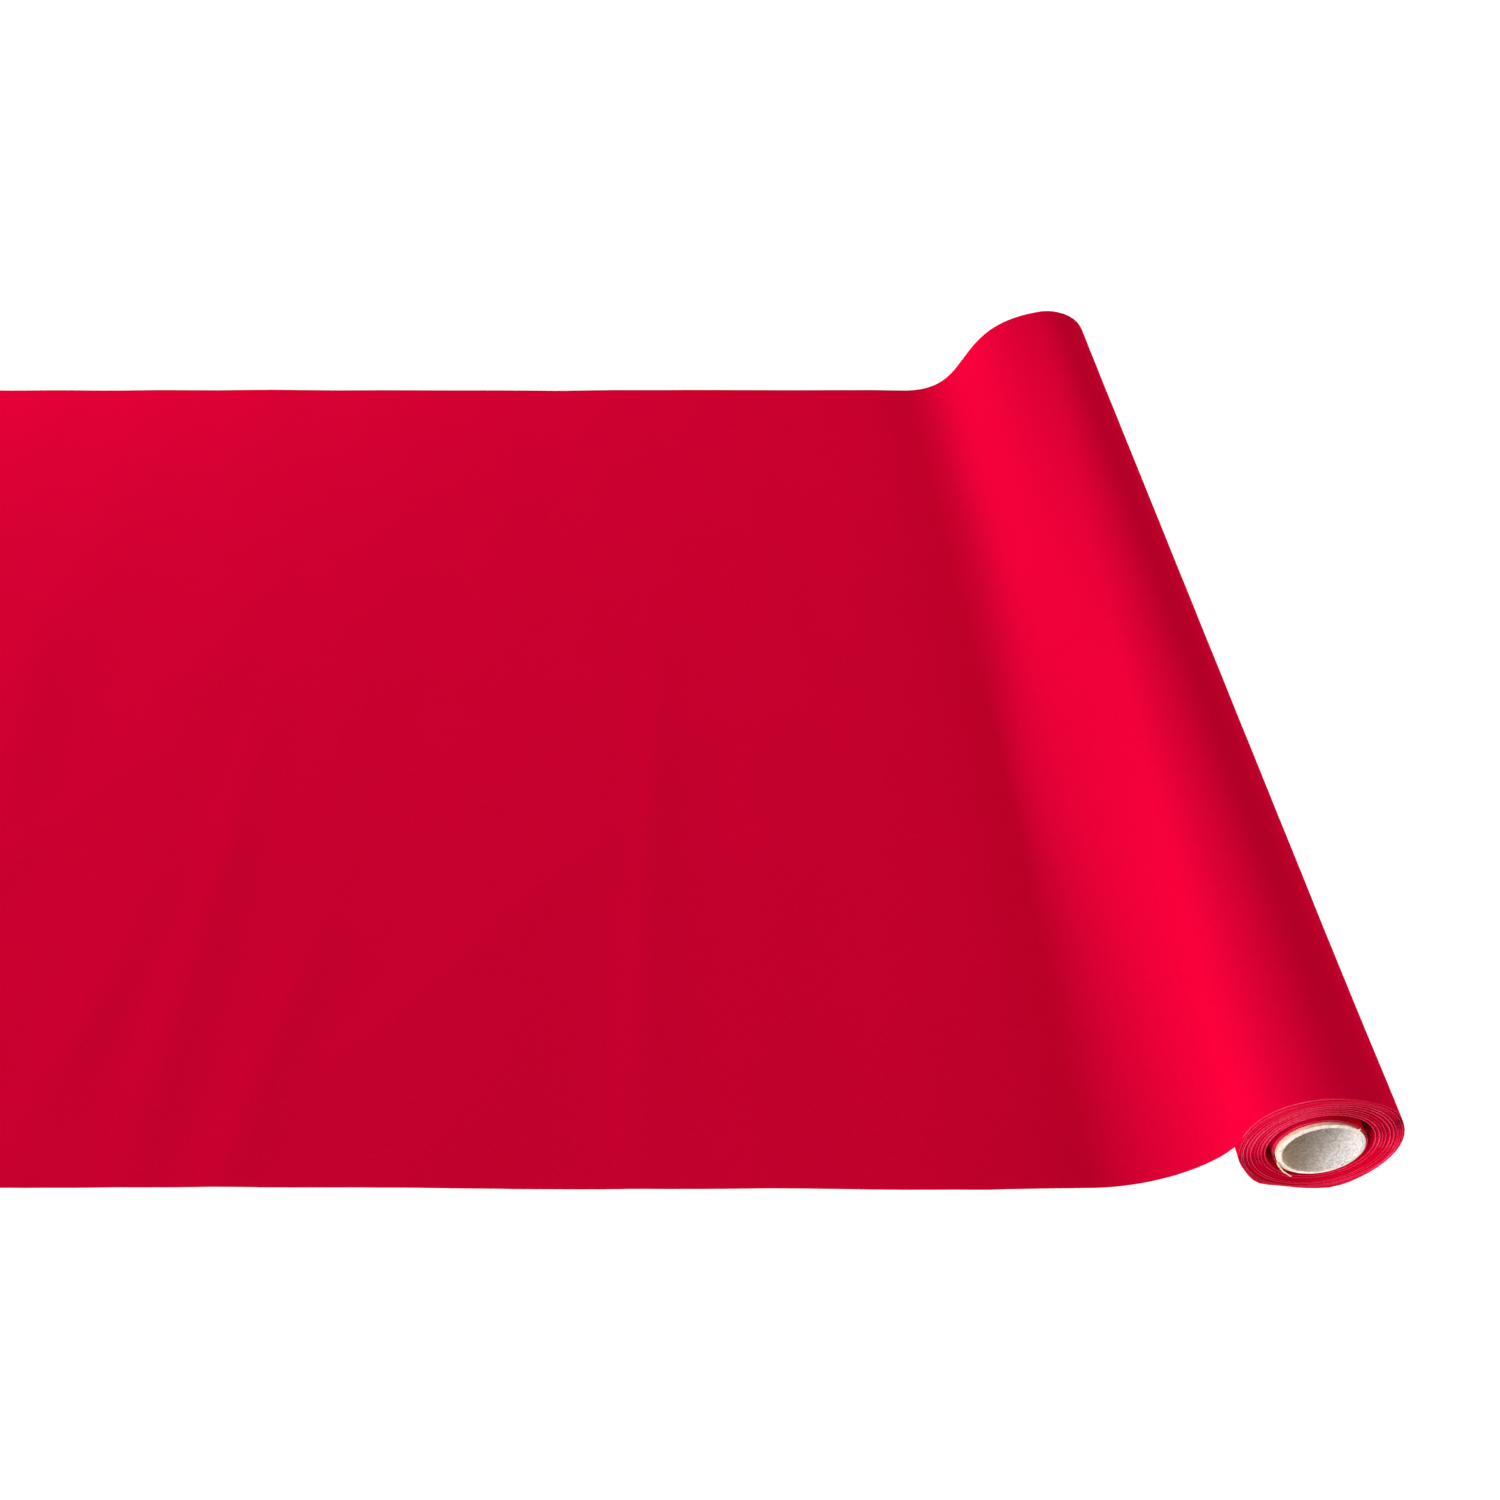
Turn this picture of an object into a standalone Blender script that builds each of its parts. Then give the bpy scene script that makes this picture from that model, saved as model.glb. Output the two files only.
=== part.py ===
"""A roll of soft sheet on a paper core, with its free end unrolled flat on a table.

Units are metres. +X runs from the cut end of the sheet to the roll, +Y along the roll
and +Z up. The origin is on the table, under the middle of the whole object.
The sheet leaves the roll over its top: at the near end (-Y) it hugs the roll down to
its side, and at the far end (+Y) it lifts off at the top and falls in a slack curve.
"""
import math

import bmesh
import bpy
from mathutils import Vector

# Driving dimensions.
SHEET_WIDTH = 1.2
ROLL_RADIUS = 0.0571
SHEET_THICKNESS = 0.0003
GAP = 0.0003                 # kept between neighbouring solids
REACH = 1.44                 # from the roll's axis to the cut end of the sheet

CORE_BORE_RADIUS = 0.0265
CORE_RADIUS = 0.0311
CORE_LINER = 0.0008          # thickness of the tube's inner ply
CORE_KRAFT = 0.0008          # thickness of the tube's outer ply
CORE_OVERHANG = 0.0026       # how far the core stands out of the roll at each end
CORE_DROP = 0.001            # how far the core's axis lies below the roll's, in the slack hole
HOLE_RADIUS = 0.0384         # inside of the wound sheet, slack around the core
WRAP_GROUPS = 4              # the winding, as nested rings of about twenty turns each
FACETS = 72                  # flats around a full turn

TAPE_ARC = math.radians(40)
TAPE_END_INSET = 0.03        # the tape stops short of the sheet's edges

# The outer wrap and the lead-out, as angles about the roll's axis from +X towards +Z.
SPLIT_ANGLE = math.radians(92.5)
OUTER_WRAP_SWEEP = math.radians(270)

# Lead-out curve at the near and far ends: the angle at which it leaves the roll, how far
# from the axis it meets the table, and the lengths of its two handles there.
LEAVE_ANGLE = (math.radians(172), math.radians(99))
FOOT_DISTANCE = (0.152, 0.180)
ROLL_HANDLE = (0.030, 0.124)
TABLE_HANDLE = (0.049, 0.100)
FOOT_BOW = 0.004             # the foot line curves towards the roll in mid-width
LEAD_OUT_END = 0.200         # distance from the axis to the end of the lead-out
ARC_STEPS = 12
CURVE_STEPS = 26
WIDTH_STEPS = 20

UNROLLED_END = 1.070         # the fixed flat stretch runs from the lead-out to here
TAIL_START = 0.580           # the sliding stretch lies under it from here to the cut end

# Worked-out places.
FACET_HALF = math.pi / FACETS
AXIS_HEIGHT = ROLL_RADIUS * math.cos(FACET_HALF)
AXIS_X = (REACH - AXIS_HEIGHT) / 2
PACK_RADIUS = ROLL_RADIUS - 2 * (SHEET_THICKNESS + GAP)
UPPER_LEVEL = SHEET_THICKNESS + GAP      # underside of the flat stretch over the tail

RED_SHEET = ("red_sheet", (0.60, 0.004, 0.028), 0.9)
GREY_BOARD = ("grey_board", (0.42, 0.39, 0.35), 0.95)
CREAM_BOARD = ("cream_board", (0.80, 0.74, 0.64), 0.9)
KRAFT_PLY = ("kraft_ply", (0.56, 0.38, 0.24), 0.85)
CLEAR_TAPE = ("clear_tape", (0.82, 0.78, 0.62), 0.35)


def clear_scene():
    for item in list(bpy.data.objects):
        bpy.data.objects.remove(item, do_unlink=True)


def get_material(spec):
    name, colour, roughness = spec
    material = bpy.data.materials.get(name)
    if material is None:
        material = bpy.data.materials.new(name)
        material.use_nodes = True
        shader = material.node_tree.nodes["Principled BSDF"]
        shader.inputs["Base Color"].default_value = (*colour, 1.0)
        shader.inputs["Roughness"].default_value = roughness
        shader.inputs["Metallic"].default_value = 0.0
    return material


def add_axis(name, place):
    """An empty on a turning body's axis."""
    axis = bpy.data.objects.new(name, None)
    axis.location = place
    bpy.context.scene.collection.objects.link(axis)
    return axis


def add_sheet(name, spec, outer, inner, closed=False, parent=None):
    """A closed body between two matching grids of points, outer[row][column] and inner.

    With closed set, the last column joins the first, which makes a tube.
    """
    mesh = bmesh.new()
    top = [[mesh.verts.new(point) for point in row] for row in outer]
    low = [[mesh.verts.new(point) for point in row] for row in inner]
    rows, columns = len(outer), len(outer[0])
    spans = [(i, (i + 1) % columns) for i in range(columns if closed else columns - 1)]

    def quad(a, b, c, d):
        mesh.faces.new((a, b, c))
        mesh.faces.new((a, c, d))

    for j in range(rows - 1):
        for i, k in spans:
            quad(top[j][i], top[j][k], top[j + 1][k], top[j + 1][i])
            quad(low[j][i], low[j + 1][i], low[j + 1][k], low[j][k])
        if not closed:
            quad(top[j][0], top[j + 1][0], low[j + 1][0], low[j][0])
            quad(top[j][-1], low[j][-1], low[j + 1][-1], top[j + 1][-1])
    for i, k in spans:
        quad(top[0][i], low[0][i], low[0][k], top[0][k])
        quad(top[-1][i], top[-1][k], low[-1][k], low[-1][i])
    bmesh.ops.recalc_face_normals(mesh, faces=mesh.faces)

    data = bpy.data.meshes.new(name)
    mesh.to_mesh(data)
    mesh.free()
    data.shade_smooth()
    data.set_sharp_from_angle(angle=math.radians(30))
    data.materials.append(get_material(spec))
    item = bpy.data.objects.new(name, data)
    item.parent = parent
    bpy.context.scene.collection.objects.link(item)
    return item


def polar(radius, angle, y):
    return Vector((radius * math.cos(angle), y, radius * math.sin(angle)))


def angle_steps(start, end):
    """Angles from start to end, one per flat of a full turn."""
    count = max(1, round(abs(end - start) / (2 * FACET_HALF)))
    return [start + (end - start) * i / count for i in range(count + 1)]


def add_tube(name, spec, inner, outer, half_length, parent):
    angles = angle_steps(FACET_HALF, FACET_HALF + 2 * math.pi)[:-1]
    grids = [[[polar(radius, angle, y) for angle in angles] for y in (-half_length, half_length)]
             for radius in (outer, inner)]
    add_sheet(name, spec, *grids, closed=True, parent=parent)


def add_arc(name, spec, inner, start, end, half_length, parent):
    """A strip one sheet thick, curved about its parent's axis."""
    grids = [[[polar(radius, angle, y) for angle in angle_steps(start, end)]
              for y in (-half_length, half_length)]
             for radius in (inner + SHEET_THICKNESS, inner)]
    add_sheet(name, spec, *grids, parent=parent)


def add_flat(name, spec, near_axis, far_from_axis, underside):
    """A flat stretch of sheet between two distances from the roll's axis."""
    half = SHEET_WIDTH / 2
    grids = [[[Vector((AXIS_X - distance, y, height)) for distance in (near_axis, far_from_axis)]
              for y in (-half, half)]
             for height in (underside + SHEET_THICKNESS, underside)]
    add_sheet(name, spec, *grids)


def lead_out_centreline(across):
    """Points of the lead-out's middle layer at across, from 0 at the near end to 1."""
    def mix(pair):
        return pair[0] + (pair[1] - pair[0]) * across

    radius = ROLL_RADIUS - SHEET_THICKNESS / 2
    leave = mix(LEAVE_ANGLE)
    start = SPLIT_ANGLE + GAP / ROLL_RADIUS
    centre = Vector((AXIS_X, 0, AXIS_HEIGHT))
    points = [centre + polar(radius, start + (leave - start) * i / ARC_STEPS, 0)
              for i in range(ARC_STEPS)]

    foot_distance = mix(FOOT_DISTANCE) - FOOT_BOW * math.sin(math.pi * across)
    level = UPPER_LEVEL + SHEET_THICKNESS / 2
    tangent = Vector((-math.sin(leave), 0, math.cos(leave)))
    lift_off = centre + polar(radius, leave, 0)
    foot = Vector((AXIS_X - foot_distance, 0, level))
    handles = (lift_off, lift_off + tangent * mix(ROLL_HANDLE),
               foot + Vector((mix(TABLE_HANDLE), 0, 0)), foot)
    for i in range(CURVE_STEPS + 1):
        t = i / CURVE_STEPS
        weights = ((1 - t) ** 3, 3 * t * (1 - t) ** 2, 3 * t * t * (1 - t), t ** 3)
        points.append(sum((w * p for w, p in zip(weights, handles)), Vector()))
    points.append(Vector((AXIS_X - LEAD_OUT_END, 0, level)))
    return points


def add_lead_out():
    """The stretch of sheet between the roll's top and the table."""
    outer, inner = [], []
    for j in range(WIDTH_STEPS + 1):
        across = j / WIDTH_STEPS
        line = lead_out_centreline(across)
        y = Vector((0, (across - 0.5) * SHEET_WIDTH, 0))
        top_row, low_row = [], []
        for i, point in enumerate(line):
            along = line[min(i + 1, len(line) - 1)] - line[max(i - 1, 0)]
            offset = Vector((along.z, 0, -along.x)).normalized() * (SHEET_THICKNESS / 2)
            top_row.append(point + offset + y)
            low_row.append(point - offset + y)
        outer.append(top_row)
        inner.append(low_row)
    add_sheet("lead_out", RED_SHEET, outer, inner)


def add_core(axis):
    """The paper tube, ply by ply, with the first wrap of sheet held on it by tape."""
    half_core = SHEET_WIDTH / 2 + CORE_OVERHANG
    liner_outside = CORE_BORE_RADIUS + CORE_LINER
    kraft_inside = CORE_RADIUS - CORE_KRAFT
    add_tube("core_liner_ply", GREY_BOARD, CORE_BORE_RADIUS, liner_outside, half_core, axis)
    add_tube("core_body_plies", CREAM_BOARD, liner_outside + GAP, kraft_inside - GAP, half_core, axis)
    add_tube("core_kraft_ply", KRAFT_PLY, kraft_inside, CORE_RADIUS, half_core, axis)

    on_core = CORE_RADIUS + GAP
    tape_start = math.radians(20)
    tape_end = tape_start + TAPE_ARC
    clearance = 2 * GAP / CORE_RADIUS
    add_arc("start_tape", CLEAR_TAPE, on_core, tape_start, tape_end,
            SHEET_WIDTH / 2 - TAPE_END_INSET, axis)
    add_arc("first_wrap", RED_SHEET, on_core, tape_end + clearance,
            tape_start + 2 * math.pi - clearance, SHEET_WIDTH / 2, axis)


def add_winding(axis):
    """The wound sheet, from the slack hole around the core out to the last turn but one."""
    ring = (PACK_RADIUS - HOLE_RADIUS - (WRAP_GROUPS - 1) * GAP) / WRAP_GROUPS
    for number in range(WRAP_GROUPS):
        inside = HOLE_RADIUS + number * (ring + GAP)
        add_tube(f"wound_wraps_{number + 1}", RED_SHEET, inside, inside + ring, SHEET_WIDTH / 2, axis)


def main():
    clear_scene()
    centre = Vector((AXIS_X, 0, AXIS_HEIGHT))
    roll_axis = add_axis("roll_axis", centre)
    core_axis = add_axis("core_axis", centre - Vector((0, 0, CORE_DROP)))
    outer_wrap_axis = add_axis("outer_wrap_axis", centre)
    add_core(core_axis)
    add_winding(roll_axis)
    add_arc("outer_wrap", RED_SHEET, ROLL_RADIUS - SHEET_THICKNESS, SPLIT_ANGLE,
            SPLIT_ANGLE - OUTER_WRAP_SWEEP, SHEET_WIDTH / 2, outer_wrap_axis)
    add_lead_out()
    add_flat("unrolled_sheet", RED_SHEET, LEAD_OUT_END + GAP, UNROLLED_END, UPPER_LEVEL)
    add_flat("sheet_tail", RED_SHEET, TAIL_START, REACH, 0.0)


main()
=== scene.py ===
"""Looks of a soft red sheet wound on a paper core, with its free end laid out on a table."""
import math

import bpy
import numpy as np
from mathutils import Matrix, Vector, noise


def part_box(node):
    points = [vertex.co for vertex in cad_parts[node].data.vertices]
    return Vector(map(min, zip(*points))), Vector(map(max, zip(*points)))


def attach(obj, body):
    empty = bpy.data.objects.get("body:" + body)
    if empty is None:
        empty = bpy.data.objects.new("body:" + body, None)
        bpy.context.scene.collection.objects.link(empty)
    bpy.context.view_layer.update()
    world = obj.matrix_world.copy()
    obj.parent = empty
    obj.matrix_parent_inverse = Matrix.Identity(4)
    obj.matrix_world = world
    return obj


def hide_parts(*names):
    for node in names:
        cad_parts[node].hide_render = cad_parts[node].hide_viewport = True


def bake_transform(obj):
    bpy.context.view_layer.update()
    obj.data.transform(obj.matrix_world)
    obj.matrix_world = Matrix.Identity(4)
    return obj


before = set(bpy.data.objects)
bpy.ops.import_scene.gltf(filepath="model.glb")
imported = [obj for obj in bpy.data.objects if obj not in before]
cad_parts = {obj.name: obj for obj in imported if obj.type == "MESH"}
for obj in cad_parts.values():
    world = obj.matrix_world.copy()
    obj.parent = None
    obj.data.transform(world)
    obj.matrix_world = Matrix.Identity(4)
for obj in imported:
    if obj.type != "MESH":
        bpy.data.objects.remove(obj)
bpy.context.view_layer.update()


def half_height(node):
    low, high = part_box(node)
    return (high.z - low.z) / 2


# Places and sizes from the frame. All lengths here are in metres unless they say otherwise.
pack_low, pack_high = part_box("wound_wraps_4")
core_low, core_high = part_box("core_kraft_ply")
AXIS_X = (pack_low.x + pack_high.x) / 2
AXIS_Z = (pack_low.z + pack_high.z) / 2
HALF_WIDTH = pack_high.y
ROLL_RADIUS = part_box("outer_wrap")[1].z - AXIS_Z
RING = (half_height("wound_wraps_4") - half_height("wound_wraps_1")) / 3
HOLE_RADIUS = half_height("wound_wraps_1") - RING
FOOT_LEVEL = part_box("unrolled_sheet")[1].z
CUT_END = AXIS_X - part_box("sheet_tail")[0].x

# The core, and how its worn tube differs from a plain round one.
CORE_LIE = (0.0005, -0.0008)     # how far off its axis the tube lies in the slack wraps
CORE_X = (core_low.x + core_high.x) / 2 + CORE_LIE[0]
CORE_Z = (core_low.z + core_high.z) / 2 + CORE_LIE[1]
CORE_RADIUS = half_height("core_kraft_ply")
CORE_HALF = core_high.y
PLY = 0.0008                     # thickness of the core's liner and of its outer ply
PLY_GAP = 0.00002                # between the middle plies and the other two
BORE_RADIUS = half_height("core_liner_ply") - PLY
CORE_OVAL = 0.022                # the soft tube is this much taller than round, and so is the hole
END_WEAR = 0.0007                # its worn end falls back this far from its bore to its outside
END_ROUGHNESS = 0.00018
WALL_ROUGHNESS = 0.00006
BORE_SHIFT = (0.0006, 0.0002)    # its wall is thinner on the right, so its bore lies off centre
BORE_FLARE = 0.0012              # how much the bore opens out at its worn ends
FLARE_LENGTH = 0.002

# The sheet.
THICKNESS = 0.0003
PRESSED = 0.00017                # the same sheet where its turns are pressed together in the roll
PITCH = 0.00026                  # from one wound turn to the next
WOUND_RADIUS = 0.0520            # outside of the tightly wound turns, inside the slack ones
SLACK_TURNS = 11
TURN_STEPS = 48                  # points around one slack turn
CURVE_STEPS = 56
FLAT_STEPS = 104
ROWS = 66

# Lead-out curve at the near and far ends, as the CAD has it.
LEAVE_ANGLE = (math.radians(172), math.radians(99))
FOOT_DISTANCE = (0.152, 0.180)
ROLL_HANDLE = (0.030, 0.124)
TABLE_HANDLE = (0.049, 0.100)
FOOT_BOW = 0.004
CREASE_PLACE = 0.36              # across the width, where the sheet bends most sharply at its foot
CREASE_WIDTH = 0.16
CREASE = (0.008, 0.034)          # how much nearer the foot is there, and how much shorter its handle

# How far the slack turns sag out of round, as a share of NEAR_OUTLINE's sag, and the shares of
# the width over which the two ends' sag fades away.
SAG_INSIDE, SAG_FAR = 0.12, 0.4
SAG_FADE_NEAR, SAG_FADE_FAR = 0.07, 0.06

# Outline of the slack outer turns at the near end: angle in degrees, radius in millimetres.
# The roll sits on two soft corners with a flat between them and sags over its left side.
NEAR_OUTLINE = ((-170, 56.8), (-154, 55.8), (-142, 55.9), (-121, 58.8), (-106, 55.7), (-94, 56.0),
                (-66, 61.1), (-40, 58.1), (-16, 56.4), (5, 56.4), (28, 57.4), (47, 58.9),
                (78, 57.3), (112, 59.6), (138, 60.4), (172, 57.4))

SWELL = 0.0016                   # the laid-out sheet rises this much just past its foot
RUMPLE = 0.0010                  # height of the faint rumples all over it

# Low ridges in it: distance from the roll's axis, place across (0 near, 1 far), half length
# across, half width, height, and lean (distance moved per width).
RIDGES = ((0.872, 0.22, 0.21, 0.022, 0.0016, 0.05), (0.487, 0.25, 0.26, 0.014, 0.0010, 0.02),
          (0.782, 0.09, 0.11, 0.018, 0.0012, -0.10), (0.630, 0.19, 0.13, 0.020, 0.0013, -0.95),
          (1.048, 0.30, 0.07, 0.022, 0.0012, -0.70), (0.345, 0.55, 0.10, 0.030, 0.0007, 0.20),
          (0.930, 0.17, 0.12, 0.020, 0.0010, -0.15), (1.120, 0.42, 0.14, 0.030, 0.0012, 0.30))

# Edges of the turns in the roll's ends.
EDGE_ROWS = (0.0007, 0.9993)     # where the rows of points next to the sheet's edges lie across it
RIM = 0.0006                     # the paleness of a wound turn's edge fades over this
CREST_SPACING = 3.3              # slack turns from one pale edge to the next
LEAN_ANGLE = math.radians(150)   # where the first wrap falls back furthest from the core's end

# The near edge of the laid-out sheet swings outward before the roll: a short bulge on a long one.
BULGE, LONG_BULGE = 0.0019, 0.0008
BULGE_PLACE, BULGE_WIDTH = 0.27, 0.085      # of the short one; its distance from the roll's axis

# The winding and the loose first wrap on the core.
WOUND_INSET = 0.0004             # the wound turns end this far inside the sheet's edges
WRAP_GAP = 0.0005                # from the core to the middle of the first wrap
WRAP_PITCH = 0.0007
WRAP_TURNS = 2.2
WRAP_PROUD = 0.0006              # it stands this far out of the roll's ends
WRAP_LEAN = 0.0014

# Light: a low key from the left and three weaker ones; all but the right one are slightly blue.
# Name, place, side of the square, power in watts and colour.
AIM = Vector((0.1, 0, 0.05))
COOL = (1.0, 1.0, 1.12)
WHITE = (1.0, 1.0, 1.0)
ROOM = (1.0, 1.0, 0.94)
ROOM_STRENGTH = 0.33
LIGHTS = (("left_softbox", (-4.29, -2.48, 0.70), 2.0, 180, COOL),
          ("front_softbox", (-2.48, -4.29, 0.70), 2.0, 74, COOL),
          ("far_softbox", (-1.6, 1.9, 1.2), 1.0, 36, COOL),
          ("right_softbox", (4.33, 0.0, 2.5), 2.0, 55, WHITE))
TABLE_HALF = 8
TABLE_DROP = 0.0002              # the table lies this far under the object

# The camera: above the near edge of the sheet, looking down along +Y.
CAMERA_PLACE = (AXIS_X - 0.41517, -HALF_WIDTH - 0.53771, 0.92708)
CAMERA_DIP = 42.843              # degrees below level
CAMERA_LENS, CAMERA_SENSOR = 33.574, 36.0   # millimetres
CAMERA_SHIFT = (0.01285, 0.00637)


def link_object(item):
    bpy.context.scene.collection.objects.link(item)
    return item


def mesh_object(name, points, faces, material, uv=None, tint=None, smooth=True):
    """An object from points and faces, with a flat map in metres and a paleness per point."""
    data = bpy.data.meshes.new(name)
    data.from_pydata([tuple(p) for p in points], [], faces)
    if uv is not None:
        layer = data.uv_layers.new(name="web")
        loops = np.zeros(len(data.loops), np.int32)
        data.loops.foreach_get("vertex_index", loops)
        layer.data.foreach_set("uv", np.asarray(uv, np.float32)[loops].ravel())
    if tint is not None:
        attribute = data.attributes.new("edge_tint", "FLOAT", "POINT")
        attribute.data.foreach_set("value", np.asarray(tint, np.float32))
    if smooth:
        data.shade_smooth()
    data.materials.append(material)
    return link_object(bpy.data.objects.new(name, data))


def grid_faces(rows, columns, wrap=False, start=0):
    """Quads over a grid of points stored row by row."""
    faces = []
    for j in range(rows - 1):
        for i in range(columns if wrap else columns - 1):
            k = (i + 1) % columns
            a, b = start + j * columns + i, start + j * columns + k
            faces.append((a, b, b + columns, a + columns))
    return faces


def ripple(x, y, z, size=1.0):
    """Smooth noise, about -1 to 1, that changes over a distance of size."""
    return noise.noise(Vector((x / size, y / size, z / size)))


def smooth_step(t):
    t = np.clip(t, 0, 1)
    return t * t * (3 - 2 * t)


def oval(radius, angle, amount):
    """Radius of a circle stood slightly taller than wide."""
    return radius * (1 - amount * math.cos(2 * angle))


# ---------------------------------------------------------------- materials

class Nodes:
    """Small helper to build a node tree."""

    def __init__(self, name, roughness, colour=(0.8, 0.8, 0.8)):
        self.material = bpy.data.materials.new(name)
        self.material.use_nodes = True
        self.tree = self.material.node_tree
        self.shader = self.tree.nodes["Principled BSDF"]
        self.set("Base Color", (*colour, 1))
        self.set("Roughness", roughness)

    def set(self, socket, value):
        self.shader.inputs[socket].default_value = value

    def add(self, kind, inputs=None, **settings):
        node = self.tree.nodes.new(kind)
        for key, value in settings.items():
            setattr(node, key, value)
        for key, value in (inputs or {}).items():
            if isinstance(value, bpy.types.NodeSocket):
                self.tree.links.new(value, node.inputs[key])
            else:
                node.inputs[key].default_value = value
        return node

    def math(self, operation, a, b=0.0):
        return self.add("ShaderNodeMath", {0: a, 1: b}, operation=operation).outputs[0]

    def mapping(self, vector, scale, angle=0.0):
        return self.add("ShaderNodeMapping", {"Vector": vector, "Scale": scale,
                                              "Rotation": (0, 0, angle)}).outputs[0]

    def noise(self, vector, scale, detail=2.0, distortion=0.0, roughness=0.5):
        return self.add("ShaderNodeTexNoise", {"Vector": vector, "Scale": scale, "Detail": detail,
                                               "Distortion": distortion,
                                               "Roughness": roughness}).outputs["Fac"]

    def ramp(self, factor, *stops):
        """Colours, or single values, along factor."""
        node = self.add("ShaderNodeValToRGB", {"Fac": factor})
        elements = node.color_ramp.elements
        while len(elements) < len(stops):
            elements.new(0.5)
        for element, (place, colour) in zip(elements, stops):
            element.position = place
            element.color = (*(colour if isinstance(colour, tuple) else (colour,) * 3), 1)
        return node.outputs["Color"]

    def mix(self, factor, a, b, blend="MIX"):
        node = self.add("ShaderNodeMix", data_type="RGBA", blend_type=blend)
        for index, value in ((0, factor), (6, a), (7, b)):
            if isinstance(value, bpy.types.NodeSocket):
                self.tree.links.new(value, node.inputs[index])
            else:
                node.inputs[index].default_value = value if index == 0 else (*value, 1)
        return node.outputs[2]

    def bump(self, height, strength, distance):
        node = self.add("ShaderNodeBump", {"Height": height, "Strength": strength,
                                           "Distance": distance})
        self.tree.links.new(node.outputs["Normal"], self.shader.inputs["Normal"])

    def link(self, output, socket):
        self.tree.links.new(output, self.shader.inputs[socket])


def fibres(nodes, coordinates):
    """Crossing thin streaks, mostly along the web: the strongest of four directions."""
    strongest = None
    for angle, along, across in ((0.12, 90, 1900), (-0.35, 120, 1600), (0.9, 160, 1700), (-1.2, 150, 1500)):
        streak = nodes.noise(nodes.mapping(coordinates, (along, across, 1), angle), 1.0, 1.5, 0.6)
        strongest = streak if strongest is None else nodes.math("MAXIMUM", strongest, streak)
    return strongest


def red_sheet_material():
    """Soft, matt, felted red sheet: crossing fibres, faint clouds and paler, frayed cut edges, which on proud
    turns are a painted highlight.
    """
    n = Nodes("red_sheet", 0.95)
    web = n.add("ShaderNodeUVMap", uv_map="web").outputs["UV"]
    clouds = n.noise(web, 11, 3.0, 0.3)
    mottle = n.noise(web, 240, 4.0, 0.2, 0.65)
    strands = fibres(n, web)
    base = n.ramp(clouds, (0.30, (0.715, 0.0002, 0.0330)), (0.70, (0.735, 0.0002, 0.0350)))
    base = n.mix(n.ramp(mottle, (0.35, 0.0), (0.75, 1.0)), base, (0.765, 0.0004, 0.0370))
    base = n.mix(n.ramp(strands, (0.62, 0.0), (0.80, 0.45)), base, (0.84, 0.0012, 0.044))
    # edge_tint: pale pink on the cut edges, a painted highlight where turns stand proud in the roll's ends
    edge = n.add("ShaderNodeAttribute", attribute_name="edge_tint").outputs["Fac"]
    place = n.add("ShaderNodeTexCoord").outputs["Object"]
    frayed = n.ramp(n.noise(place, 900, 3.0, 0.4, 0.7), (0.38, 0.25), (0.60, 1.0))
    base = n.mix(n.math("MULTIPLY", edge, frayed), base, (1.0, 0.150, 0.340))
    n.link(base, "Base Color")
    n.bump(n.math("ADD", n.math("MULTIPLY", mottle, 0.5), strands), 0.35, 0.0002)
    n.set("Sheen Weight", 0.06)
    n.set("Sheen Roughness", 0.5)
    n.set("Sheen Tint", (1.0, 0.0, 0.07, 1))
    n.set("Specular IOR Level", 0.0)
    return n.material


def board_material(name, dark, light, fleck, fleck_amount, bump=0.3, painted_shade=(1, 1, 1)):
    """Felted recycled board: blotches, short fibres and flecks, in the object's own space.

    The last argument is a painted shade: it darkens and browns the core's left side at rest and fades out
    towards its right.
    """
    n = Nodes(name, 0.95)
    place = n.add("ShaderNodeTexCoord").outputs["Object"]
    blotch = n.noise(place, 620, 4.0, 0.6, 0.7)
    round_tube = n.noise(n.mapping(place, (330, 1500, 330)), 1.0, 2.0, 0.8)
    along_tube = n.noise(n.mapping(place, (1700, 350, 1700)), 1.0, 2.0, 0.8)
    grain = n.math("MAXIMUM", round_tube, along_tube)
    base = n.ramp(blotch, (0.36, dark), (0.62, light))
    base = n.mix(n.ramp(round_tube, (0.36, 0.55), (0.47, 0.0)), base, tuple(0.55 * part for part in dark))
    # painted shade: the tube is darker and browner on its left side, fading out towards its right
    across = n.math("SUBTRACT", n.add("ShaderNodeSeparateXYZ", {0: place}).outputs["X"], CORE_X - CORE_RADIUS)
    shaded_side = n.ramp(n.math("DIVIDE", across, 2 * CORE_RADIUS), (0.10, painted_shade), (0.70, (1, 1, 1)))
    base = n.mix(1.0, base, shaded_side, "MULTIPLY")
    specks = n.ramp(grain, (0.58, 0.0), (0.72, fleck_amount))
    n.link(n.mix(specks, base, fleck), "Base Color")
    n.bump(n.math("ADD", blotch, grain), bump, 0.0004)
    n.set("Specular IOR Level", 0.15)
    return n.material


def tape_material():
    """Slightly yellow film with faint streaks."""
    n = Nodes("clear_tape", 0.35)
    place = n.add("ShaderNodeTexCoord").outputs["Object"]
    streak = n.noise(n.mapping(place, (900, 12, 900)), 1.0, 2.0)
    n.link(n.ramp(streak, (0.3, (0.72, 0.66, 0.46)), (0.7, (0.84, 0.80, 0.66))), "Base Color")
    n.bump(streak, 0.1, 0.0001)
    return n.material


# ---------------------------------------------------------------- the laid-out sheet

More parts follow.
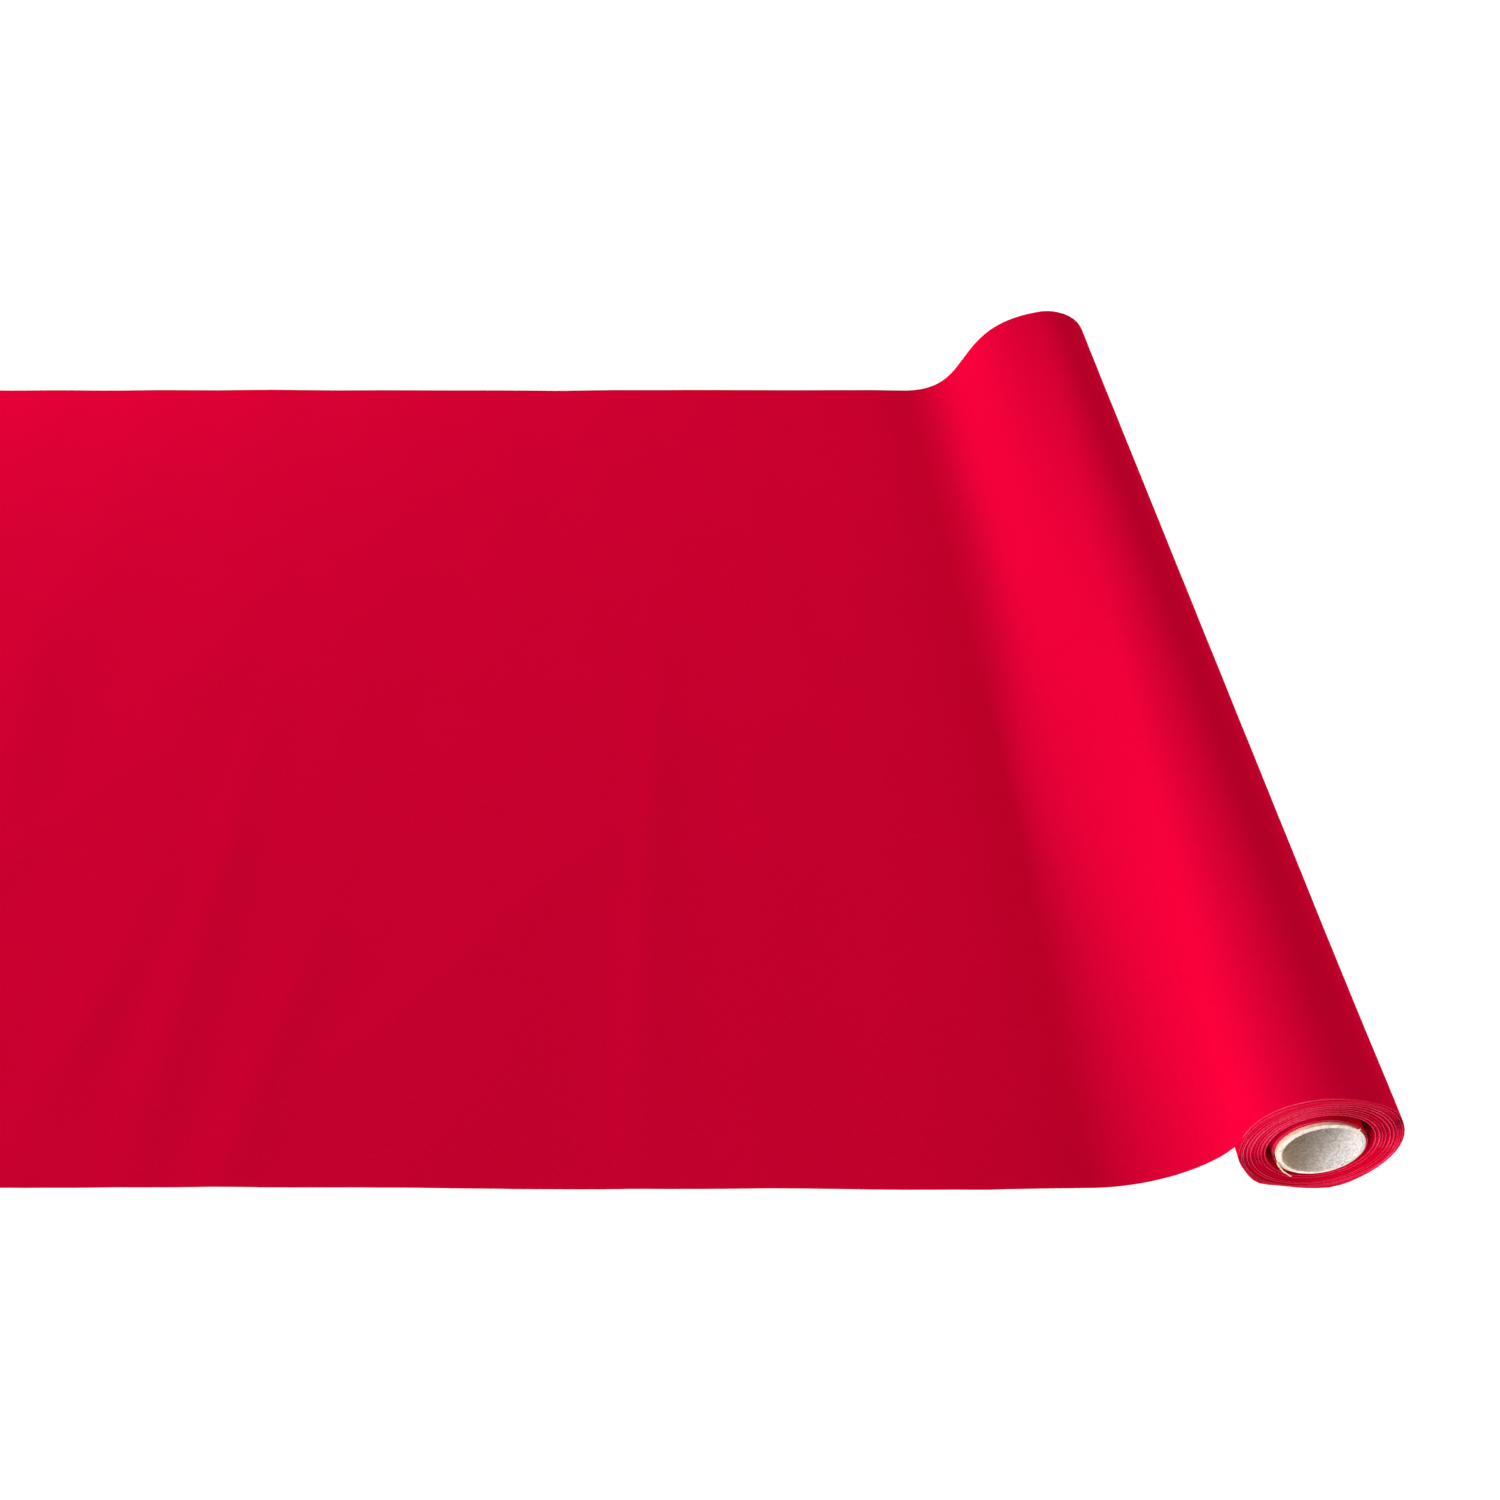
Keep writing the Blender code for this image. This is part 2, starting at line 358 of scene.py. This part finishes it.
def outline_radius(angle):
    """Radius of the near outline at an angle: a smooth closed curve through its points."""
    places = [math.radians(a) for a, _ in NEAR_OUTLINE]
    radii = [r / 1000 for _, r in NEAR_OUTLINE]
    places = [places[-1] - 2 * math.pi] + places + [places[0] + 2 * math.pi, places[1] + 2 * math.pi]
    radii = [radii[-1]] + radii + radii[:2]
    angle = (angle - places[1]) % (2 * math.pi) + places[1]
    i = max(k for k in range(1, len(places) - 1) if places[k] <= angle + 1e-9)
    gap = places[i + 1] - places[i]
    t = (angle - places[i]) / gap
    slope_a = (radii[i + 1] - radii[i - 1]) / (places[i + 1] - places[i - 1]) * gap
    after = min(i + 2, len(places) - 1)
    slope_b = (radii[after] - radii[i]) / (places[after] - places[i]) * gap
    return ((2 * t ** 3 - 3 * t ** 2 + 1) * radii[i] + (t ** 3 - 2 * t ** 2 + t) * slope_a
            + (3 * t ** 2 - 2 * t ** 3) * radii[i + 1] + (t ** 3 - t ** 2) * slope_b)


def slackness(across):
    """How much the outer turns sag out of round: fully at the near end, little inside the roll."""
    near = (1 - SAG_INSIDE) * math.exp(-(across / SAG_FADE_NEAR) ** 2)
    far = SAG_FAR * math.exp(-((1 - across) / SAG_FADE_FAR) ** 2)
    return SAG_INSIDE + near + far


def outer_radius(angle, across):
    """Middle of the outermost turn."""
    round_radius = ROLL_RADIUS - THICKNESS / 2
    return round_radius + (outline_radius(angle) - round_radius) * slackness(across)


def slack_turns_line(across, leave):
    """Middle line of the slack turns, from the inside out to where the sheet leaves the roll."""
    points = []
    inner = WOUND_RADIUS + THICKNESS
    for i in range(SLACK_TURNS * TURN_STEPS):
        turn = SLACK_TURNS - i / TURN_STEPS          # turns still to go
        angle = leave - 2 * math.pi * turn
        share = 1 - turn / SLACK_TURNS
        radius = inner + (outer_radius(angle, across) - inner) * share
        points.append((AXIS_X + radius * math.cos(angle), AXIS_Z + radius * math.sin(angle)))
    return np.array(points)


def lead_out_line(across, leave):
    """Middle line from where the sheet leaves the roll, in a slack curve, to its foot."""
    def mix(pair):
        return pair[0] + (pair[1] - pair[0]) * across

    crease = math.exp(-((across - CREASE_PLACE) / CREASE_WIDTH) ** 2)
    foot_distance = mix(FOOT_DISTANCE) - FOOT_BOW * math.sin(math.pi * across) - CREASE[0] * crease
    radius = outer_radius(leave, across)
    lift = np.array([AXIS_X + radius * math.cos(leave), AXIS_Z + radius * math.sin(leave)])
    tangent = np.array([-math.sin(leave), math.cos(leave)])
    foot = np.array([AXIS_X - foot_distance, FOOT_LEVEL - THICKNESS / 2])
    table_handle = mix(TABLE_HANDLE) - CREASE[1] * crease
    handles = (lift, lift + tangent * mix(ROLL_HANDLE), foot + np.array([table_handle, 0]), foot)
    t = np.linspace(0, 1, CURVE_STEPS)[:, None]
    weights = ((1 - t) ** 3, 3 * t * (1 - t) ** 2, 3 * t * t * (1 - t), t ** 3)
    return sum(w * h for w, h in zip(weights, handles))


def table_lift(distance, across, beyond_foot):
    """Height of the laid-out sheet over its foot's level: a low swell, rumples and faint ridges."""
    y = (across - 0.5) * 2 * HALF_WIDTH
    swell = SWELL * smooth_step(beyond_foot / 0.045) * (0.6 + 0.4 * ripple(y, distance, 3.3, 0.5))
    swell *= 1 - 0.7 * smooth_step((beyond_foot - 0.1) / 0.3)
    drift = 0.03 * ripple(distance, y, 1.7, 0.45)
    narrow = RUMPLE * ripple(distance + drift, y * 0.16, 4.1, 0.10)
    broad = RUMPLE * ripple(distance, y * 0.5, 8.3, 0.28)
    height = swell + (narrow + broad) * smooth_step(beyond_foot / 0.12)
    for place, middle, half, width, rise, lean in RIDGES:
        off = distance - place - lean * (across - middle)
        height += rise * math.exp(-(off / width) ** 2 - ((across - middle) / half) ** 4)
    return height


def turn_edge(turn, angle):
    """How far a slack turn's edge stands out of the roll's end, and how pale it is.

    About every third turn stands proud and is pale, a painted highlight that fades in and out round the roll.
    """
    crest = max(0.0, math.cos(2 * math.pi * turn / CREST_SPACING)) ** 2
    level = 0.0006 * ripple(turn * 1.9, math.cos(angle), math.sin(angle)) + 0.0007 * crest
    pale = crest * (0.55 + 0.9 * ripple(turn * 2.3, math.cos(angle) * 1.4, math.sin(angle) * 1.4 + 5))
    return level, min(max(pale, 0.03), 1.0)


def near_bulge(distance):
    """How far the sheet's near edge swings outward before the roll, by distance from the axis."""
    beyond_roll = smooth_step((distance - 0.14) / 0.10) * (1 - smooth_step((distance - 0.5) / 0.2))
    return LONG_BULGE * beyond_roll + BULGE * math.exp(-((distance - BULGE_PLACE) / BULGE_WIDTH) ** 2)


def build_web(material):
    """One continuous sheet: slack outer turns, over the roll, down the lead-out, flat to its cut end."""
    even = np.linspace(0, 1, ROWS)
    acrosses = even - 0.08 * np.sin(2 * math.pi * even)        # closer together near the edges
    acrosses[1], acrosses[-2] = EDGE_ROWS
    slack_count = SLACK_TURNS * TURN_STEPS
    points, uv, tint = [], [], []
    for j, across in enumerate(acrosses):
        y = (across - 0.5) * 2 * HALF_WIDTH
        side = -1 if across < 0.5 else 1
        at_edge = abs(2 * across - 1) ** 40
        leave = LEAVE_ANGLE[0] + (LEAVE_ANGLE[1] - LEAVE_ANGLE[0]) * across
        turns, curve = slack_turns_line(across, leave), lead_out_line(across, leave)
        foot_x = curve[-1][0]
        run = np.arange(1, FLAT_STEPS + 1) / FLAT_STEPS
        flat = np.stack([foot_x - (foot_x - (AXIS_X - CUT_END)) * run, np.full(FLAT_STEPS, curve[-1][1])], 1)
        line = np.vstack([turns, curve, flat])
        along = np.concatenate([[0], np.cumsum(np.hypot(*np.diff(line, axis=0).T))])
        for i, ((x, z), out) in enumerate(zip(line, along[-1] - along)):
            reach = 0.0006 * ripple(out, 0, 5.5, 0.13) + 0.0002 * ripple(out, 0, 7.7, 0.02)
            if side < 0:
                reach += near_bulge(AXIS_X - x)
            pale = 0.0
            if i < slack_count:
                turn = SLACK_TURNS - i / TURN_STEPS
                # pale here is a painted highlight on the proud slack turns' edges
                level, pale = turn_edge(turn, leave - 2 * math.pi * turn)
                reach = level * min(1.0, turn)
            if i >= slack_count + CURVE_STEPS:
                z += table_lift(AXIS_X - x, across, foot_x - x)
                pale = 0.10 + 0.3 * float(smooth_step((AXIS_X - x - 1.02) / 0.1)) * (side < 0)
            points.append((x, y + side * reach * at_edge, max(z, THICKNESS / 2)))
            uv.append((-out, y))
            tint.append(pale if j in (0, ROWS - 1) else 0.0)
    columns = len(points) // ROWS
    item = mesh_object("web_laid_out", points, grid_faces(ROWS, columns), material, uv, tint)
    full = item.vertex_groups.new(name="full_thickness")
    for i in range(columns):
        share = float(smooth_step((i / TURN_STEPS - SLACK_TURNS + 1.2) / 1.0))
        full.add([i + columns * j for j in range(ROWS)], share, "REPLACE")
    shell = item.modifiers.new("thickness", "SOLIDIFY")
    shell.thickness = THICKNESS
    shell.offset = 0.0
    shell.vertex_group = full.name
    shell.thickness_vertex_group = PRESSED / THICKNESS
    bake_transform(item)
    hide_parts("outer_wrap", "lead_out", "unrolled_sheet", "sheet_tail")


# ---------------------------------------------------------------- the winding

def turn_edges(count, draw):
    """How far each wound turn's edge stands out, and how pale it is.

    Turns wander sideways together, and every eight or so one or two stand proud; their paleness is a painted
    highlight of the light they catch.
    """
    proud = np.zeros(count)
    pale = np.clip(draw.normal(0.02, 0.02, count), 0, 0.06)
    level = 0.0
    for k in range(count):
        level = 0.7 * level + draw.normal(0, 0.00015)
        proud[k] = level
    k = 0
    while k < count:
        width = 2 if k == 0 else draw.integers(1, 3)
        proud[k:k + width] += 0.0006 + 0.0005 * draw.random()
        pale[k:k + width] = 0.80 + 0.20 * draw.random()
        proud[k + width:k + width + 3] -= 0.0007
        pale[k + width:k + width + 3] = 0.0
        k += width + draw.integers(6, 10)
    return proud, pale


def spiral_ribbon(name, material, centre, radius, pitch, turns, half, seed, start_angle=0.0,
                  ovals=(0, 0), lean=0.0):
    """A web wound round an axis along Y as one long ribbon, with its turns' edges uneven.

    radius is where it starts and pitch how much it grows in a turn. ovals are how far out of
    round it is inside and outside. lean is how far its near end falls back at LEAN_ANGLE.
    """
    steps = 90
    draw = np.random.default_rng(seed)
    near, near_pale = turn_edges(int(turns) + 2, draw)
    far, far_pale = turn_edges(int(turns) + 2, draw)
    points, uv, tint = [], [], []
    count = int(turns * steps) + 1
    for i in range(count):
        k, part = divmod(i / steps, 1)
        k = int(k)
        angle = start_angle + 2 * math.pi * (i / steps)
        out_of_round = ovals[0] + (ovals[1] - ovals[0]) * i / (count - 1)
        at = oval(radius + pitch * i / steps, angle, out_of_round)
        turning = float(smooth_step(part))
        wave = 0.00015 * ripple(math.cos(angle) * 3, math.sin(angle) * 3, k * 0.7)
        near_end = -half - (near[k] + (near[k + 1] - near[k]) * turning + wave)
        near_end += lean * (1 + math.cos(angle - LEAN_ANGLE)) / 2
        far_end = half + far[k] + (far[k + 1] - far[k]) * turning + wave
        # glint: painted highlight on the turns' pale edges, fading in and out round the roll
        glint = 0.85 + 0.9 * ripple(math.cos(angle) * 2, math.sin(angle) * 2, k * 0.9)
        glint = min(max(glint, 0.6 if k < 2 else 0.0), 1.0)      # the innermost two are pale all round
        pales = (near_pale[k] * glint, 0.0, 0.0, far_pale[k] * glint)
        stations = tuple(zip((near_end, near_end + RIM, far_end - RIM, far_end), pales))
        for r, row in ((at + PRESSED / 2, stations), (at - PRESSED / 2, stations[::-1])):
            for y, pale in row:
                points.append((centre[0] + r * math.cos(angle), y, centre[1] + r * math.sin(angle)))
                uv.append((at * angle, y))
                tint.append(pale)
    faces = grid_faces(count, 8, wrap=True)
    faces.append(tuple(range(8))[::-1])
    faces.append(tuple((count - 1) * 8 + i for i in range(8)))
    item = mesh_object(name, points, faces, material, uv, tint)
    item.data.set_sharp_from_angle(angle=math.radians(40))
    return item


def build_winding(material):
    turns = (WOUND_RADIUS - HOLE_RADIUS) / PITCH
    wound = spiral_ribbon("wound_web", material, (AXIS_X, AXIS_Z), HOLE_RADIUS, PITCH, turns,
                          HALF_WIDTH - WOUND_INSET, 11, ovals=(CORE_OVAL, 0.0))
    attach(wound, "wound_roll")
    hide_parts("wound_wraps_1", "wound_wraps_2", "wound_wraps_3", "wound_wraps_4")
    first = spiral_ribbon("first_wrap_on_core", material, (CORE_X, CORE_Z), CORE_RADIUS + WRAP_GAP,
                          WRAP_PITCH, WRAP_TURNS, HALF_WIDTH + WRAP_PROUD, 5, math.radians(300),
                          (CORE_OVAL, CORE_OVAL), lean=WRAP_LEAN)
    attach(first, "core")
    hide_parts("first_wrap")


# ---------------------------------------------------------------- the core

def ply_tube(name, material, inner, outer):
    """One ply of the core as a closed tube with slightly uneven, worn ends."""
    around, lengthwise = 144, 41
    inner_stations = np.linspace(-CORE_HALF + FLARE_LENGTH, CORE_HALF - FLARE_LENGTH, lengthwise)
    stations = [-CORE_HALF] + list(inner_stations) + [CORE_HALF]
    rows = len(stations)
    points = []
    for radius in (inner, outer):
        depth = (radius - BORE_RADIUS) / (CORE_RADIUS - BORE_RADIUS)
        proud = -END_WEAR * depth
        shift_x, shift_z = (shift * (1 - depth) for shift in BORE_SHIFT)
        for j, y in enumerate(stations):
            end = (j == 0) - (j == rows - 1)
            for i in range(around):
                angle = 2 * math.pi * i / around
                c, s = math.cos(angle), math.sin(angle)
                wobble = END_ROUGHNESS * ripple(c * 5, s * 5, radius * 900)
                r = oval(radius, angle, CORE_OVAL) + WALL_ROUGHNESS * ripple(angle * 3, y * 30, radius * 500)
                r += abs(end) * BORE_FLARE * (1 - depth)
                points.append((CORE_X + shift_x + r * c, y - end * (proud + wobble),
                               CORE_Z + shift_z + r * s))
    faces = [tuple(reversed(f)) for f in grid_faces(rows, around, wrap=True)]
    faces += grid_faces(rows, around, wrap=True, start=rows * around)
    for j, flip in ((0, False), (rows - 1, True)):
        for i in range(around):
            a, b = j * around + i, j * around + (i + 1) % around
            face = (a, b, b + rows * around, a + rows * around)
            faces.append(tuple(reversed(face)) if flip else face)
    item = mesh_object(name, points, faces, material)
    item.data.set_sharp_from_angle(angle=math.radians(40))
    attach(item, "core")
    return item


def torn_sliver(name, material, start, end, lift, width, seed):
    """A sliver of the outer ply torn loose at the near end, from one angle to another.

    It peels away from the tube by lift at its tip, and its edges are ragged.
    """
    steps = 22
    draw = np.random.default_rng(seed)
    points = []
    for i in range(steps + 1):
        t = i / steps
        angle = start + (end - start) * t
        r = oval(CORE_RADIUS, angle, CORE_OVAL) - 0.0003 + lift * t ** 1.3
        taper = width * (1 - 0.7 * t ** 2) * (0.6 + 0.8 * draw.random())
        front = -CORE_HALF - 0.0006 - 0.0010 * t - 0.0004 * draw.random()
        thick = 0.0010 * (1 - 0.4 * t) * (0.7 + 0.6 * draw.random())
        for radial, y in ((0, front), (thick, front), (thick, front + taper), (0, front + taper)):
            at = r + radial
            points.append((CORE_X + at * math.cos(angle), y, CORE_Z + at * math.sin(angle)))
    faces = grid_faces(steps + 1, 4, wrap=True)
    faces.append((3, 2, 1, 0))
    faces.append(tuple(steps * 4 + k for k in range(4)))
    item = mesh_object(name, points, faces, material, smooth=False)
    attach(item, "core")


def build_core():
    # the grey liner carries a painted shade on its left side
    grey = board_material("grey_board", (0.60, 0.52, 0.44), (0.90, 0.87, 0.82), (0.95, 0.93, 0.90), 0.5, 0.6,
                          painted_shade=(0.92, 0.71, 0.50))
    cream = board_material("cream_board", (0.76, 0.68, 0.60), (0.88, 0.82, 0.75), (0.93, 0.89, 0.84), 0.6)
    kraft = board_material("kraft_ply", (0.92, 0.64, 0.37), (0.99, 0.77, 0.51), (0.99, 0.87, 0.70), 0.5)
    plies = (("core_liner", grey, BORE_RADIUS, BORE_RADIUS + PLY, "core_liner_ply", "grey_board"),
             ("core_board", cream, BORE_RADIUS + PLY + PLY_GAP, CORE_RADIUS - PLY - PLY_GAP,
              "core_body_plies", "cream_board"),
             ("core_kraft", kraft, CORE_RADIUS - PLY, CORE_RADIUS, "core_kraft_ply", "kraft_ply"))
    for name, material, inner, outer, node, slot in plies:
        item = ply_tube(name, material, inner, outer)
        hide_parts(node)
    torn_sliver("torn_ply_flap", kraft, math.radians(-149), math.radians(-112), 0.0024, 0.0014, 3)
    torn_sliver("torn_ply_burr", kraft, math.radians(53), math.radians(59), 0.0034, 0.0012, 4)


# ---------------------------------------------------------------- stage

def build_stage():
    """White table in a pale room, and soft lights round it, the strongest low on the left."""
    corners = [(x * TABLE_HALF, y * TABLE_HALF, 0) for x, y in ((-1, -1), (1, -1), (1, 1), (-1, 1))]
    table = mesh_object("table", corners, [(0, 1, 2, 3)], table_material(), smooth=False)
    table.location.z = -TABLE_DROP

    world = bpy.data.worlds.new("studio")
    world.use_nodes = True
    background = world.node_tree.nodes["Background"]
    background.inputs["Color"].default_value = (*ROOM, 1)
    background.inputs["Strength"].default_value = ROOM_STRENGTH
    bpy.context.scene.world = world
    for light in LIGHTS:
        add_light(*light)


def table_material():
    """White that gives off light, so that the table shows no shadow."""
    n = Nodes("white_table", 1.0, (0.25, 0.25, 0.25))
    n.set("Emission Color", (1, 1, 1, 1))
    n.set("Emission Strength", 1.0)
    n.set("Specular IOR Level", 0.0)
    return n.material


def add_light(name, place, side, power, colour):
    """A square soft light, turned towards the middle of the object."""
    data = bpy.data.lights.new(name, "AREA")
    data.size = side
    data.energy = power
    data.color = colour
    item = link_object(bpy.data.objects.new(name, data))
    item.location = place
    item.rotation_euler = (AIM - item.location).to_track_quat("-Z", "Y").to_euler()


def build_camera():
    data = bpy.data.cameras.new("camera")
    data.sensor_width = CAMERA_SENSOR
    data.lens = CAMERA_LENS
    data.shift_x, data.shift_y = CAMERA_SHIFT
    data.clip_end = 60
    item = link_object(bpy.data.objects.new("camera", data))
    item.location = CAMERA_PLACE
    item.rotation_euler = (math.radians(90 - CAMERA_DIP), 0, 0)
    bpy.context.scene.camera = item


def main():
    red = red_sheet_material()
    build_web(red)
    build_winding(red)
    build_core()
    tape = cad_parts["start_tape"]
    tape.data.materials.clear()
    tape.data.materials.append(tape_material())
    build_stage()
    build_camera()
    bpy.context.scene.view_settings.view_transform = "Standard"


main()
